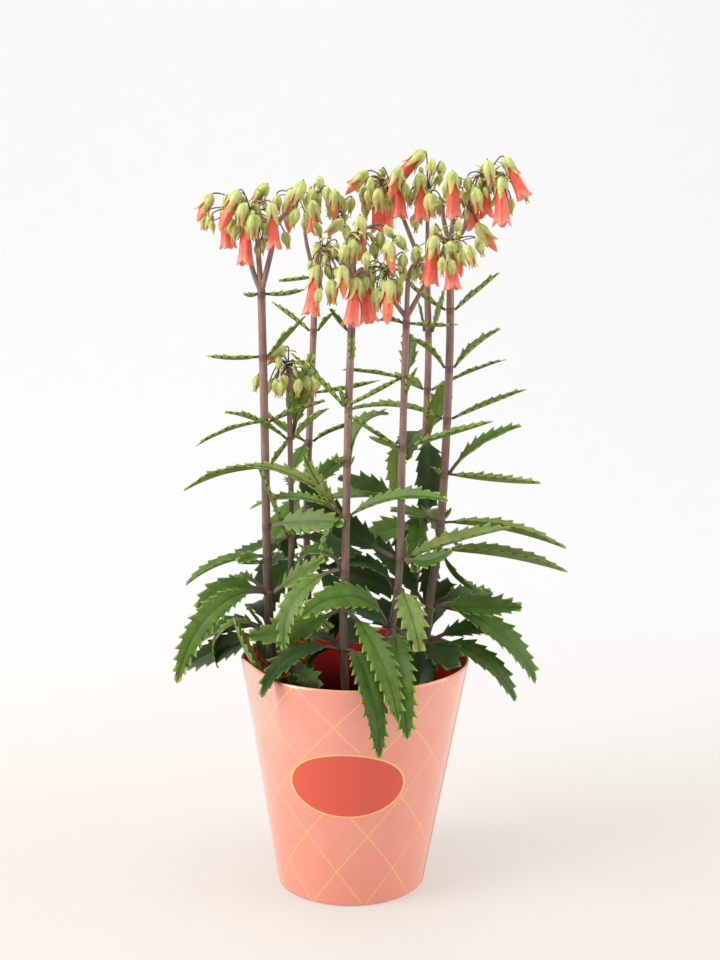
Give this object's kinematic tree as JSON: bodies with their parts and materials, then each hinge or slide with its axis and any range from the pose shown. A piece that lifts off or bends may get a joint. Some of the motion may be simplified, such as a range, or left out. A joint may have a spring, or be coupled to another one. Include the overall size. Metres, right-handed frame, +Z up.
{
  "type": "potted plant",
  "caption": "Tall potted kalanchoe with hanging coral bell flowers and narrow toothed leaves, in a nursery pot inside a conical coral card cover.",
  "frame": {"origin": "centre of the pot cover's foot, on the surface it stands on", "axes": "+Z up along the plant, -Y towards the front, which the low leaves hang over, +X to the right seen from the front"},
  "size_m": [0.2308, 0.1796, 0.4403],
  "materials": {
    "cover": "gloss",
    "pot": "satin",
    "soil": "matte",
    "stem": "satin",
    "leaf": "satin",
    "flower": "satin"
  },
  "bodies": {
    "root": {"pot_cover": "cover", "nursery_pot": "pot", "soil": "soil", "stem_a": "stem", "flower_head_a": "flower", "stem_b": "stem", "flower_head_b": "flower", "stem_c": "stem", "flower_head_c": "flower", "stem_d": "stem", "flower_head_d": "flower", "stem_e": "stem", "flower_head_e": "flower", "stem_f": "stem", "flower_head_f": "flower", "stem_g": "stem", "flower_head_g": "flower", "leaves_a1": "leaf", "leaves_a2": "leaf", "leaves_a3": "leaf", "leaves_a4": "leaf", "leaves_a5": "leaf", "leaves_a6": "leaf", "leaves_a7": "leaf", "leaves_a8": "leaf", "leaves_a9": "leaf", "leaves_b1": "leaf", "leaves_b2": "leaf", "leaves_b3": "leaf", "leaves_c1": "leaf", "leaves_c2": "leaf", "leaves_c3": "leaf", "leaves_c4": "leaf", "leaves_c5": "leaf", "leaves_d1": "leaf", "leaves_d2": "leaf", "leaves_d3": "leaf", "leaves_d4": "leaf", "leaves_d5": "leaf", "leaves_d6": "leaf", "leaves_d7": "leaf", "leaves_e1": "leaf", "leaves_e2": "leaf", "leaves_e3": "leaf", "leaves_e4": "leaf", "leaves_e5": "leaf", "leaves_e6": "leaf", "leaves_e7": "leaf", "leaves_f1": "leaf", "leaves_f2": "leaf", "leaves_f3": "leaf", "leaves_f4": "leaf", "leaves_g1": "leaf", "leaves_g2": "leaf", "leaves_g3": "leaf", "leaves_g4": "leaf", "leaves_g5": "leaf", "leaves_g6": "leaf", "leaves_g7": "leaf", "leaves_g8": "leaf"}
  },
  "joints": []
}
